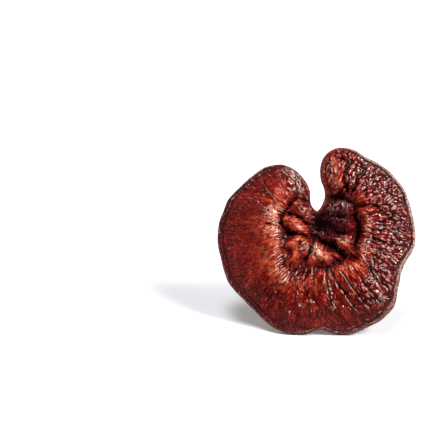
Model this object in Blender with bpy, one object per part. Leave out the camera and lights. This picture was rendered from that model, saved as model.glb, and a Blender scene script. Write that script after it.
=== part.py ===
# Reishi mushroom, picked and dried: a kidney-shaped cap with a rolled margin and a
# deeply folded middle, and the short stem that joins it behind its notch.
#
# Metres, +Z up, the cap faces -Y. The mushroom stands on two lobes of its lower
# margin and on the flat cut foot of its stem. The origin is on the floor, under the
# middle of the whole mushroom.
#
# The cap is laid out in millimetres in its own leaning plane: x to the right, v up
# the cap from the floor, and w out of the cap, towards the front.

import math

import bmesh
import bpy
import numpy as np
from mathutils import Vector, noise
from mathutils.geometry import delaunay_2d_cdt

MM = 0.001

# Stance
LEAN = math.radians(20.0)  # the cap leans back by this angle
SINK = 0.45  # the margin is pressed flat against the floor by this much
MIDDLE_X, MIDDLE_Y = -1.35, 35.5  # middle of the mushroom's box, seen from above

# Cap thickness
MARGIN_RADIUS = 3.0  # of the rolled edge
DOME_RISE, DOME_RUN = 9.5, 15.0  # the top rises this much, over about this distance
GROOVE_DEPTH, GROOVE_INSET, GROOVE_WIDTH = 1.3, 1.8, 1.5  # just inside the rolled edge
RELIEF_RUN = 3.0  # folds fade out over this distance from the rolled edge
PORE_DROP, PORE_RUN = 4.0, 14.0  # the pore side swells back by this much
COLLAR_W = -18.0  # the stem joins in this plane, behind the cap
GAP = 0.3  # between cap and stem

# Hollow round the hub: depth and reach of the wide bowl and of the funnel in it
HUB_X, HUB_V = 2.0, 64.5
BOWL_DEPTH, BOWL_REACH = 4.0, 20.0
FUNNEL_DEPTH, FUNNEL_REACH = 7.0, 8.0

# Soft pleats that run out from the hub, and the lumps between them
PLEATS = 37
PLEAT_HEIGHT, PLEAT_START, PLEAT_FULL = 0.8, 14.0, 28.0
PLEAT_SWAY, PLEAT_SWAY_RUN = 1.2, 7.0
LUMP_HEIGHT, LUMP_SIZE = 2.0, 5.0
CALM_SHARE = 0.3  # how much of both the smooth left band has
CALM_X, CALM_BLEND = -22.0, 9.0  # the left band lies left of this

# Stem
COLLAR_X, COLLAR_V, COLLAR_RADIUS = 10.0, 68.0, 9.5
COLLAR_FLARE, FLARE_SHARE = 11.0, 0.6  # the cap's neck spreads by this, within its room
FLARE_RIBS, FLARE_RIB_SHARE = 5, 0.25  # soft ribs of the spread
FOOT_X, FOOT_Y, FOOT_RADIUS = 2.0, 63.5, 10.5
PULL_TOP, PULL_FOOT = 24.0, 30.0  # how far each end of the stem runs straight
WAIST = 0.14  # the stem is thinner by this share at mid-length
KNOBS, KNOB_SIZE = 0.30, 11.0  # lumps of the stem, as a share of its radius, and their size
STEM_LENGTH = 55.0  # about, for the spacing of the lumps

# Fineness of the faces
MARGIN_POINTS, NECK_POINTS = 144, 36
TOP_STEP, PORE_STEP = 2.15, 6.0
ROLL_ROWS, FLARE_ROWS, STEM_ROWS = 5, 4, 18
CURVE_STEPS = 12
LINE_SPACE, LATTICE_SPACE = 0.75, 0.72  # closest spacing of points, as shares of the step

# Margin of the cap, from the bottom of the notch up the left lobe and on round, as
# x, v, w. It waves back and forth by a few millimetres.
MARGIN = [
    (-1.2, 75.4, -2.5), (-4.1, 78.6, -1.5), (-4.9, 82.8, 0.0), (-5.3, 87.0, 1.0),
    (-7.4, 91.4, 1.5), (-11.4, 96.3, 1.0), (-16.3, 100.2, 0.0), (-23.5, 102.7, -1.5),
    (-32.6, 101.3, -3.0), (-38.9, 97.4, -3.0), (-44.9, 91.8, -2.0), (-54.5, 81.2, -2.0),
    (-57.8, 73.8, -3.0), (-60.4, 66.5, -4.5), (-61.1, 58.8, -5.0), (-60.0, 50.1, -4.0),
    (-54.3, 33.1, -2.0), (-48.8, 25.2, -1.5), (-33.8, 11.4, -2.0), (-27.1, 5.8, -1.0),
    (-20.6, 2.3, 0.0), (-13.3, 0.5, 0.0), (-4.4, 1.0, 0.0), (0.8, 2.9, 0.5),
    (4.4, 3.8, 0.5), (8.9, 2.7, -1.0), (15.9, 1.8, -3.6), (23.8, 2.9, -3.4),
    (37.6, 9.8, -1.5), (42.2, 13.6, -1.0), (46.8, 19.0, -0.5), (48.6, 25.5, 0.5),
    (49.8, 33.3, 1.0), (50.7, 39.5, 0.5), (53.0, 46.0, -1.5), (56.7, 53.1, -3.5),
    (58.4, 60.2, -5.0), (56.2, 74.4, -4.0), (51.3, 88.6, -3.0), (46.7, 94.9, -3.0),
    (40.2, 101.6, -2.5), (32.9, 106.0, -1.5), (26.6, 108.7, -1.0), (21.0, 112.0, 0.5),
    (14.5, 113.6, 1.0), (8.6, 112.9, 1.0), (4.0, 110.2, 0.5), (1.0, 106.0, 0.5),
    (-0.3, 100.2, 0.5), (0.4, 93.2, 0.5), (2.8, 86.9, 0.0), (2.8, 82.0, -1.0),
    (1.0, 77.6, -2.0),
]

# Valleys in the top: depth, half-width, and the line that each follows as x, v.
VALLEYS = [
    # the ring round the folded middle: its left side, bottom and right side
    (4.0, 2.6, [(-3.0, 80.8), (-10.1, 80.9), (-15.4, 80.1), (-18.2, 76.1), (-20.4, 71.8),
                (-22.1, 68.7), (-20.1, 63.3), (-17.7, 58.0), (-18.9, 51.4), (-17.4, 45.5)]),
    (2.8, 2.6, [(-17.4, 45.5), (-15.8, 37.2), (-9.2, 35.1), (-2.2, 37.8), (4.8, 40.4),
                (10.6, 44.3), (17.0, 46.9), (21.1, 47.7)]),
    (4.2, 3.0, [(3.0, 83.2), (11.3, 84.3), (15.5, 82.1), (19.7, 79.8), (22.9, 73.9),
                (23.7, 62.6), (23.8, 53.7), (21.1, 47.7)]),
    # between the folds of the middle
    (2.4, 1.9, [(-29.8, 66.0), (-24.9, 64.4), (-20.1, 63.9)]),
    (3.0, 1.9, [(-16.9, 73.7), (-12.7, 73.2), (-10.8, 69.7), (-8.2, 65.6), (-3.3, 64.0)]),
    (2.6, 1.9, [(-17.5, 60.4), (-10.3, 60.7), (-4.3, 58.6)]),
    (2.6, 1.9, [(-1.9, 58.1), (-3.4, 52.0), (-4.9, 46.6), (-7.6, 39.9)]),
    (4.6, 2.3, [(-2.5, 58.6), (1.8, 55.8), (6.7, 53.0), (11.5, 50.8), (17.0, 47.5)]),
    # up the right lobe
    (2.8, 2.0, [(11.9, 107.5), (14.5, 105.5), (16.0, 99.5), (15.1, 92.3), (17.1, 86.9),
                (19.7, 81.6)]),
    (2.4, 2.0, [(27.1, 102.0), (24.4, 96.2), (21.1, 89.5), (19.6, 82.8)]),
    # across the right side and the lower right
    (2.2, 1.9, [(22.7, 78.7), (28.1, 77.7), (34.0, 77.3), (40.0, 74.0), (46.1, 67.1)]),
    (2.2, 1.9, [(24.0, 62.7), (29.9, 61.7), (37.1, 58.4), (44.3, 54.0)]),
    (2.2, 1.8, [(8.3, 43.0), (12.1, 36.0), (17.7, 29.7), (23.3, 21.2), (29.3, 14.1)]),
    (2.0, 1.8, [(6.1, 38.1), (8.8, 31.1), (10.2, 25.3), (14.1, 17.8)]),
    (2.2, 1.8, [(17.0, 45.7), (21.4, 38.8), (26.4, 31.3), (33.8, 22.8), (36.5, 19.3)]),
    (2.2, 1.8, [(24.4, 52.0), (30.6, 45.1), (35.5, 39.4), (40.4, 33.7), (43.2, 30.9)]),
    # the long faint fold at the left
    (1.4, 2.4, [(-47.4, 79.3), (-39.8, 73.5), (-32.2, 66.5)]),
]

# Ridges and folds on the top: height, half-width and line.
RIDGES = [
    # crest of the outer band
    (2.2, 5.0, [(-23.0, 86.0), (-27.7, 74.5), (-26.0, 61.0), (-24.0, 49.0), (-19.5, 34.5),
                (-9.0, 29.5), (4.0, 32.0)]),
    (2.2, 5.0, [(13.0, 37.0), (26.0, 44.0), (29.5, 56.0), (29.5, 70.0), (26.0, 82.0)]),
    # folds of the middle, from the upper left round to the right
    (3.8, 3.6, [(-13.0, 77.7), (-9.0, 74.5), (-5.2, 68.5)]),
    (4.2, 3.6, [(-17.5, 69.0), (-12.5, 66.0), (-5.0, 61.4)]),
    (4.2, 3.4, [(-16.0, 53.8), (-10.0, 55.8), (-5.2, 54.2)]),
    (3.6, 3.2, [(-14.3, 42.7), (-11.4, 46.0), (-9.4, 49.6)]),
    (4.6, 3.6, [(-0.8, 52.6), (1.5, 49.5), (4.4, 46.0)]),
    (4.6, 3.0, [(9.5, 58.9), (15.5, 56.4), (21.2, 52.7)]),
    (3.6, 2.6, [(7.5, 69.6), (14.5, 67.6), (20.8, 65.4)]),
    # knob over the stem
    (5.6, 5.0, [(5.6, 76.4), (12.0, 77.4), (17.6, 76.4)]),
    # swell of the two upper lobes
    (3.2, 10.0, [(-19.0, 92.0), (-25.0, 90.0)]),
    (3.2, 7.5, [(8.2, 102.0), (8.6, 94.0)]),
]


def through(points, closed):
    """Many points of the smooth curve through a few: one row for each point."""
    p = np.array(points, float)
    if closed:
        p = np.vstack([p[-1], p, p[0], p[1]])
    else:
        p = np.vstack([2 * p[0] - p[1], p, 2 * p[-1] - p[-2]])
    t = np.linspace(0.0, 1.0, CURVE_STEPS, endpoint=False)[:, None]
    runs = []
    for a, b, c, d in zip(p, p[1:], p[2:], p[3:]):
        square = (2 * a - 5 * b + 4 * c - d) * t**2
        cube = (3 * b - a - 3 * c + d) * t**3
        runs.append(b + 0.5 * ((c - a) * t + square + cube))
    runs.append(p[-2:-1])
    return np.vstack(runs)


def evenly(line, count, closed):
    """COUNT points spaced evenly along a line, without its end if it is closed."""
    steps = np.linalg.norm(np.diff(line[:, :2], axis=0), axis=1)
    along = np.concatenate([[0.0], np.cumsum(steps)])
    wanted = np.linspace(0.0, along[-1], count, endpoint=not closed)
    return np.column_stack([np.interp(wanted, along, column) for column in line.T])


def outward(ring):
    """Unit vectors in the plane that point out of a ring that runs anticlockwise."""
    ahead = np.roll(ring, -2, axis=0) - np.roll(ring, 2, axis=0)
    normal = np.column_stack([ahead[:, 1], -ahead[:, 0]])
    return normal / np.linalg.norm(normal, axis=1)[:, None]


def distance_to(plan, line):
    """Distance of each point of the plane from a line of short straight steps."""
    start, step = line[:-1], np.diff(line, axis=0)
    share = ((plan[:, None] - start) * step).sum(-1) / (step**2).sum(-1)
    nearest = start + np.clip(share, 0.0, 1.0)[..., None] * step
    return np.linalg.norm(plan[:, None] - nearest, axis=-1).min(axis=-1)


def inside(plan, ring):
    """Which points of the plane lie inside a ring, by counting crossings."""
    x, v = plan[:, None, 0], plan[:, None, 1]
    near, far = ring, np.roll(ring, -1, axis=0)
    spans = (near[:, 1] > v) != (far[:, 1] > v)
    rise = np.where(far[:, 1] == near[:, 1], 1.0, far[:, 1] - near[:, 1])
    meets = near[:, 0] + (v - near[:, 1]) * (far[:, 0] - near[:, 0]) / rise
    return (spans & (x < meets)).sum(axis=1) % 2 == 1


def closed_line(ring):
    return np.vstack([ring, ring[:1]])


def margin_ring():
    """The margin's points x, v and w, and the way out of the cap at each."""
    ring = evenly(through(MARGIN, closed=True), MARGIN_POINTS, closed=True)
    return ring[:, :2], ring[:, 2], outward(ring[:, :2])


def plate(plan):
    """Height w of the cap's middle sheet, spread in from the waving margin."""
    edge, edge_w, _ = margin_ring()
    square = ((plan[:, None] - edge) ** 2).sum(-1)
    weight = 1.0 / (square + 1.0) ** 2
    return (weight * edge_w).sum(1) / weight.sum(1)


def shoulder_ring():
    """Where the rolled margin meets the top and the pore side, seen from in front."""
    edge, _, normal = margin_ring()
    return edge - MARGIN_RADIUS * normal


def lumpiness(plan):
    """1 where the top is most wrinkled, CALM_SHARE on the smooth left band."""
    side = 0.5 + 0.5 * np.tanh((plan[:, 0] - CALM_X) / CALM_BLEND)
    return CALM_SHARE + (1.0 - CALM_SHARE) * side


def strongest(plan, features):
    """Size of the strongest feature at each point, with soft changes between them."""
    total = np.zeros(len(plan))
    for size, half_width, line in features:
        away = distance_to(plan, through(line, closed=False))
        total += (size * np.exp(-((away / half_width) ** 2))) ** 4
    return total**0.25


def top_height(plan):
    """Height w of the top, with all its folds."""
    x, v = plan.T
    inset = distance_to(plan, closed_line(shoulder_ring()))
    height = plate(plan) + MARGIN_RADIUS
    height += DOME_RISE * (1.0 - np.exp(-inset / DOME_RUN))
    height -= GROOVE_DEPTH * np.exp(-(((inset - GROOVE_INSET) / GROOVE_WIDTH) ** 2))
    from_hub = np.hypot(x - HUB_X, v - HUB_V)
    height -= BOWL_DEPTH * np.exp(-((from_hub / BOWL_REACH) ** 2))
    height -= FUNNEL_DEPTH * np.exp(-((from_hub / FUNNEL_REACH) ** 2))
    turn = np.arctan2(v - HUB_V, x - HUB_X)
    grown = np.clip((from_hub - PLEAT_START) / (PLEAT_FULL - PLEAT_START), 0.0, 1.0)
    sway = PLEAT_SWAY * np.sin(from_hub / PLEAT_SWAY_RUN)
    pleats = PLEAT_HEIGHT * grown * np.sin(PLEATS * turn + sway)
    lumps = [noise.noise(Vector((px / LUMP_SIZE, pv / LUMP_SIZE, 0.5))) for px, pv in plan]
    relief = strongest(plan, RIDGES) - strongest(plan, VALLEYS)
    relief += lumpiness(plan) * (pleats + LUMP_HEIGHT * np.array(lumps))
    return height + (1.0 - np.exp(-inset / RELIEF_RUN)) * relief


def pore_height(plan):
    """Height w of the pore side, which is smooth and swells back a little."""
    inset = distance_to(plan, closed_line(shoulder_ring()))
    return plate(plan) - MARGIN_RADIUS - PORE_DROP * (1.0 - np.exp(-inset / PORE_RUN))


def lattice(ring, step):
    """Points in a triangular lattice over a ring's box."""
    low, high = ring.min(axis=0), ring.max(axis=0)
    rows = int((high[1] - low[1]) / (step * math.sqrt(0.75))) + 1
    columns = int((high[0] - low[0]) / step) + 2
    points = []
    for row in range(rows):
        for column in range(columns):
            across = low[0] + step * (column - 0.5 * (row % 2))
            points.append((across, low[1] + row * step * math.sqrt(0.75)))
    return np.array(points)


def add_spaced(kept, points, apart):
    """Adds those points that are far enough from all that are there already."""
    for point in points:
        if ((kept - point) ** 2).sum(axis=1).min() >= apart**2:
            kept = np.vstack([kept, point])
    return kept


def triangles_between(points, outer, inner=()):
    """Triangles over the points, which start with an outer ring and an inner one."""
    edges = []
    for first, count in ((0, len(outer)), (len(outer), len(inner))):
        edges += [(first + i, first + (i + 1) % count) for i in range(count)]
    _, _, faces, *_ = delaunay_2d_cdt([Vector(p) for p in points], edges, [], 0, 1e-6)
    faces = np.array(faces)
    middle = points[faces].mean(axis=1)
    wanted = inside(middle, outer)
    if len(inner):
        wanted &= ~inside(middle, inner)
    return faces[wanted]


def top_patch():
    """The top inside the rolled margin: points x, v, w and their triangles."""
    _, _, normal = margin_ring()
    shoulder = shoulder_ring()
    groove = shoulder - GROOVE_INSET * normal
    band = groove - TOP_STEP * normal
    plan = np.vstack([shoulder, groove, band])
    for _, _, line in VALLEYS:
        curve = through(line, closed=False)
        length = np.linalg.norm(np.diff(curve, axis=0), axis=1).sum()
        spots = evenly(curve, round(length / TOP_STEP), closed=False)
        plan = add_spaced(plan, spots[inside(spots, band)], LINE_SPACE * TOP_STEP)
    spots = lattice(shoulder, TOP_STEP)
    plan = add_spaced(plan, spots[inside(spots, band)], LATTICE_SPACE * TOP_STEP)
    faces = triangles_between(plan, shoulder)
    return np.column_stack([plan, top_height(plan)]), faces


def pore_patch(foot):
    """The pore side, from the rolled margin to the foot of the neck."""
    shoulder = shoulder_ring()
    plan = np.vstack([shoulder, foot])
    spots = lattice(shoulder, PORE_STEP)
    spots = spots[inside(spots, shoulder) & ~inside(spots, foot)]
    plan = add_spaced(plan, spots, LATTICE_SPACE * PORE_STEP)
    faces = triangles_between(plan, shoulder, foot)
    return np.column_stack([plan, pore_height(plan)]), faces


def stem_outline(t):
    """Distance from the stem's axis, round it, at a share t of its length."""
    turn = np.linspace(0.0, 2 * math.pi, NECK_POINTS, endpoint=False)
    radius = COLLAR_RADIUS + (FOOT_RADIUS - COLLAR_RADIUS) * t
    radius *= 1.0 - WAIST * math.sin(math.pi * t)
    along = STEM_LENGTH * t / KNOB_SIZE
    across = radius / KNOB_SIZE
    lumps = [noise.noise(Vector((across * math.cos(a), across * math.sin(a), along))) for a in turn]
    return turn, radius * (1.0 + KNOBS * np.array(lumps))


def cap_parts():
    """The cap's patches and rings, each as points x, v, w."""
    edge, edge_w, normal = margin_ring()
    top, top_faces = top_patch()
    roll = []
    for angle in np.linspace(math.pi / 2, -math.pi / 2, ROLL_ROWS + 2)[1:-1]:
        plan = edge - MARGIN_RADIUS * (1.0 - math.cos(angle)) * normal
        roll.append(np.column_stack([plan, edge_w + MARGIN_RADIUS * math.sin(angle)]))

    turn, radius = stem_outline(0.0)
    neck = np.column_stack([COLLAR_X + radius * np.cos(turn), COLLAR_V + radius * np.sin(turn)])
    room = distance_to(neck, closed_line(shoulder_ring()))
    away = neck - (COLLAR_X, COLLAR_V)
    away /= np.linalg.norm(away, axis=1)[:, None]
    ribs = 1.0 + FLARE_RIB_SHARE * np.sin(FLARE_RIBS * turn)
    foot = neck + np.minimum(COLLAR_FLARE * ribs, FLARE_SHARE * room)[:, None] * away
    pores, pore_faces = pore_patch(foot)
    foot_w = pores[MARGIN_POINTS:MARGIN_POINTS + NECK_POINTS, 2]
    flare = []
    for angle in np.linspace(0.0, math.pi / 2, FLARE_ROWS + 1)[1:]:
        plan = foot + (neck - foot) * math.sin(angle)
        w = foot_w + (COLLAR_W - foot_w) * (1.0 - math.cos(angle))
        flare.append(np.column_stack([plan, w]))
    return top, top_faces, roll, pores, pore_faces, flare


def lean(points):
    """Points of the cap's plane, as x, y, z over the floor in millimetres."""
    x, v, w = np.asarray(points, float).T
    y = v * math.sin(LEAN) - w * math.cos(LEAN)
    z = v * math.cos(LEAN) + w * math.sin(LEAN) - SINK
    return np.column_stack([x, y, np.maximum(z, 0.0)])


def stem_rings():
    """Rings of x, y, z along the stem, from the cap's cut to the foot on the floor."""
    forward = np.array([0.0, math.cos(LEAN), -math.sin(LEAN)])
    down = np.array([0.0, 0.0, -1.0])
    start = lean([(COLLAR_X, COLLAR_V, COLLAR_W - GAP)])[0]
    end = np.array([FOOT_X, FOOT_Y, 0.0])
    pull_start = start + PULL_TOP * forward
    pull_end = end - PULL_FOOT * down
    rings = []
    for t in np.linspace(0.0, 1.0, STEM_ROWS):
        s = 1.0 - t
        centre = s**3 * start + 3 * s**2 * t * pull_start + 3 * s * t**2 * pull_end + t**3 * end
        ahead = s**2 * (pull_start - start) + 2 * s * t * (pull_end - pull_start)
        ahead = ahead + t**2 * (end - pull_end)
        ahead /= np.linalg.norm(ahead)
        up = np.cross([1.0, 0.0, 0.0], ahead)
        up /= np.linalg.norm(up)
        side = np.cross(ahead, up)
        turn, out = stem_outline(t)
        rings.append(centre + np.outer(out * np.cos(turn), side) + np.outer(out * np.sin(turn), up))
    return rings


def finish_material(name, colour, roughness):
    """A plain lacquered finish."""
    material = bpy.data.materials.new(name)
    material.use_nodes = True
    shader = material.node_tree.nodes["Principled BSDF"]
    shader.inputs["Base Color"].default_value = (*colour, 1.0)
    shader.inputs["Roughness"].default_value = roughness
    shader.inputs["Metallic"].default_value = 0.0
    return material


def add_points(work, points):
    """New vertices at x, y, z in millimetres, moved to the part's own origin."""
    middle = np.array([MIDDLE_X, MIDDLE_Y, 0.0])
    return [work.verts.new((point - middle) * MM) for point in points]


def join_rings(work, rings):
    """Faces between each ring of vertices and the next."""
    for near, far in zip(rings, rings[1:]):
        for i in range(len(near)):
            j = (i + 1) % len(near)
            work.faces.new((near[i], near[j], far[j], far[i]))


def finish_body(work, name, material):
    """Turns the closed work mesh into a named object with its material."""
    bmesh.ops.recalc_face_normals(work, faces=work.faces)
    mesh = bpy.data.meshes.new(name)
    work.to_mesh(mesh)
    work.free()
    mesh.materials.append(material)
    mesh.shade_smooth()
    bpy.context.collection.objects.link(bpy.data.objects.new(name, mesh))


def build_cap(material):
    top, top_faces, roll, pores, pore_faces, flare = cap_parts()
    work = bmesh.new()
    top_verts = add_points(work, lean(top))
    pore_verts = add_points(work, lean(pores))
    for verts, faces in ((top_verts, top_faces), (pore_verts, pore_faces)):
        for face in faces:
            work.faces.new([verts[i] for i in face])
    roll_verts = [add_points(work, lean(ring)) for ring in roll]
    join_rings(work, [top_verts[:MARGIN_POINTS], *roll_verts, pore_verts[:MARGIN_POINTS]])
    foot_verts = pore_verts[MARGIN_POINTS:MARGIN_POINTS + NECK_POINTS]
    flare_verts = [add_points(work, lean(ring)) for ring in flare]
    join_rings(work, [foot_verts, *flare_verts])
    work.faces.new(flare_verts[-1])
    finish_body(work, "cap", material)


def build_stem(material):
    work = bmesh.new()
    rings = [add_points(work, ring) for ring in stem_rings()]
    join_rings(work, rings)
    work.faces.new(rings[0])
    work.faces.new(rings[-1])
    finish_body(work, "stem", material)


def build():
    for old in list(bpy.data.objects):
        bpy.data.objects.remove(old, do_unlink=True)
    build_cap(finish_material("cap lacquer", (0.16, 0.02, 0.012), 0.32))
    build_stem(finish_material("stem lacquer", (0.05, 0.012, 0.012), 0.3))


build()
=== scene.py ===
import math

import bpy
import numpy as np
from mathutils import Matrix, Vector, kdtree, noise
from mathutils.geometry import delaunay_2d_cdt


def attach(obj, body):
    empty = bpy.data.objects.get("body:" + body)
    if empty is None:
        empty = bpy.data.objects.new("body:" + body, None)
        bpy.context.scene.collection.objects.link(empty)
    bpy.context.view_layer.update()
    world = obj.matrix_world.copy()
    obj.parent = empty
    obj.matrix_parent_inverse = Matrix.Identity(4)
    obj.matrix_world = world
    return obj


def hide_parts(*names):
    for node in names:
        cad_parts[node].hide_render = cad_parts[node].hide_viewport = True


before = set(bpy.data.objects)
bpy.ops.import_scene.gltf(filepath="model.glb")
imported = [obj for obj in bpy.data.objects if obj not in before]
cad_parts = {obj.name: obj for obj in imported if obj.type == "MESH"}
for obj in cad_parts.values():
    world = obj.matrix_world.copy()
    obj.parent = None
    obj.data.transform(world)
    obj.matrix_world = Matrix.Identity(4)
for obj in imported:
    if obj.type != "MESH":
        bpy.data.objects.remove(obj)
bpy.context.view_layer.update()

print("frame loaded, nodes:", ", ".join(sorted(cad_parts)))

# Reishi mushroom: a lacquered cap with a rolled margin and a folded middle, and the
# short stem behind its notch. The cap is laid out in millimetres in its own leaning
# plane: x to the right, v up the cap from the floor, w out towards the front.

mm = 0.001

cap = {
    "leanDegrees": 20.0,
    "sink": 0.45,                # pressed flat on the floor by this much
    "middle": (-1.35, 35.5),     # middle of the whole mushroom, seen from above
    "skin": 0.25,                # the crust starts this far inside the solid's outline
    "marginHalf": 3.0,           # half the thickness of the rolled edge
    "marginWaver": 0.3, "marginWaverSize": 3.5, "lipWaver": 0.9,
    "lineWaver": 0.8, "lineWaverSize": 7.0,
    "noiseLevels": {             # which sheet of the smooth noise each of these takes
        "margin": 2.6, "lip": 7.3, "line": 4.4, "wanderX": 3.7, "wanderV": 8.2, "lumps": 0.5,
        "poreWave": 5.1, "poreZone": 6.4,
    },
    "slide": 0.5,                # most of the way along the margin to its nearest point
    "shoulderShare": 0.8,        # how far in the rolled edge reaches on top, for each lip's width
    "backWidth": 2.3,            # and how far at the back
    "domeRise": 8.9, "domeRun": 15.0, "domeStart": 3.0,
    "reliefRun": 3.0,            # folds fade out over this distance from the margin
    "poreDrop": 4.0, "poreRun": 14.0,
    "poreWave": 0.7, "poreWaveSize": 11.0, "poreReliefRun": 2.0,
    "poreZone": 0.12, "poreZoneSize": 3.4, "poreZoneStray": 3.0, "poreZoneStraySize": 22.0,
    "hub": (2.0, 64.5),
    "bowlDepth": 4.0, "bowlReach": 20.0,
    "funnel": (1.5, 65.0), "funnelDepth": 8.0, "funnelReach": 7.0, "thinnest": 3.0,
    "lumpHeight": 1.7, "lumpSize": 5.0,
    "beadHeight": 0.45, "beadWidth": 0.6, "beadInset": 1.3,   # a bead inside the dark line
    # the bead's share of the painted sheen, a painted highlight along it
    "beadSheen": 0.4,
    "calmX": -22.0, "calmBlend": 9.0, "calmShare": 0.3,
    "wander": 2.2, "wanderSize": 7.0,       # folds stray from their lines by this much
    "featureReach": 3.0,                    # in half-widths of the feature
    "crackShare": 0.7, "crackWidth": 0.55, "crackTaper": 0.75,   # the sharp bottom of each valley
    "creaseWidth": 0.3, "creaseHighlight": 0.5, "creaseHighlightWidth": 0.28, "creaseStray": 0.45,
    "creaseReach": 4.0, "creaseStart": 0.1, "creaseTaper": 0.8,
    "grooveDepth": 0.9, "grooveWidth": 0.52, "secondInset": 3.6,
    "foldFull": 4.5, "crackFull": 2.0, "deepFull": 3.5,   # heights and depths that count as full
    "creaseShare": 0.5,                   # how much of a long crease counts as a crack
    "calmed": 0.8, "bottomCalmed": 0.6, "pitCalmed": 0.5,   # how much weaker the lumps are there
    # dark hub, dark knob and pit: middle, half-width and half-height
    "darkSpots": [(7.5, 69.5, 13.5, 11.5), (12.5, 76.5, 10.0, 7.5), (0.8, 67.5, 4.5, 7.0)],
    # where each of these is none and where it is full: past the lip's width, as a share of
    # it, from the hub, from the margin, by a ladder's strength
    "inLip": (0.2, 1.8), "rimFade": (0.4, -0.2), "lipFade": (0.85, 0.45),
    "middleFade": (28.0, 20.0), "duskFade": (24.0, 2.0), "ladderFade": (0.3, 0.75),
    # the same up the rolled edge, and out along the neck
    "rollLip": (-0.2, 0.4), "rollPore": (-0.3, -0.85),
    "flareStalk": (0.2, 0.55), "flareSettles": (1.0, 0.85), "flareCobbled": 0.45,
    "flareAway": 20.0,           # the neck takes the pore side's colours of this inset
    "curveSteps": 12, "marginPoints": 720, "step": 0.4, "poreStep": 1.6, "clearShare": 0.7,
    "rollRows": 14, "bandRings": 12, "bandStep": 0.38,
    "neckPoints": 120, "flareRows": 14, "plateDots": 144,
}

# Margin from the bottom of the notch up the left lobe and on round, as x, v, w.
marginLine = [
    (-1.2, 75.4, -2.5), (-4.1, 78.6, -1.5), (-4.9, 82.8, 0), (-5.3, 87, 1),
    (-7.4, 91.4, 1.5), (-11.4, 96.3, 1), (-16.3, 100.2, 0), (-23.5, 102.7, -1.5),
    (-32.6, 101.3, -3), (-38.9, 97.4, -3), (-44.9, 91.8, -2), (-54.5, 81.2, -2),
    (-57.8, 73.8, -3), (-60.4, 66.5, -4.5), (-61.1, 58.8, -5), (-60, 50.1, -4),
    (-54.3, 33.1, -2), (-48.8, 25.2, -1.5), (-33.8, 11.4, -2), (-27.1, 5.8, -1),
    (-20.6, 2.3, 0), (-13.3, 0.5, 0), (-4.4, 1, 0), (0.8, 2.9, 0.5),
    (4.4, 3.8, 0.5), (8.9, 2.7, -1), (15.9, 1.8, -3.6), (23.8, 2.9, -3.4),
    (37.6, 9.8, -1.5), (42.2, 13.6, -1), (46.8, 19, -0.5), (48.6, 25.5, 0.5),
    (49.8, 33.3, 1), (50.7, 39.5, 0.5), (53, 46, -1.5), (56.7, 53.1, -3.5),
    (58.4, 60.2, -5), (56.2, 74.4, -4), (51.3, 88.6, -3), (46.7, 94.9, -3),
    (40.2, 101.6, -2.5), (32.9, 106, -1.5), (26.6, 108.7, -1), (21, 112, 0.5),
    (14.5, 113.6, 1), (8.6, 112.9, 1), (4, 110.2, 0.5), (1, 106, 0.5),
    (-0.3, 100.2, 0.5), (0.4, 93.2, 0.5), (2.8, 86.9, 0), (2.8, 82, -1),
    (1, 77.6, -2),
]

# Width of the pale lip outside the dark line, by direction from the hub in degrees.
lipWidths = [(-180, 1.7), (-140, 1.7), (-100, 1.9), (-70, 2.3), (-45, 3.2), (-20, 2.6),
             (10, 2.3), (50, 2.1), (85, 1.6), (120, 1.5), (150, 1.6), (180, 1.7)]

# How pale the lip is, by the same directions.
lipPales = [(-180, 0.03), (-120, 0.03), (-72, 0.06), (-55, 0.15), (-40, 0.4), (-20, 0.6),
            (0, 0.75), (40, 0.75), (62, 0.5), (80, 0.25), (100, 0.05), (180, 0.03)]

# How far the margin stands out as an edge, by the same directions: not in the notch.
edgeShares = [(-180, 1), (74, 1), (84, 0.1), (110, 0.1), (120, 1), (180, 1)]

# How strong the dark line inside the lip is, by the same directions.
lineShares = [(-180, 0.7), (-130, 0.7), (-110, 0.4), (-70, 0.4), (-40, 0.6), (-15, 0.9),
              (60, 1), (74, 0.7), (120, 0.6), (180, 0.7)]

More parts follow.
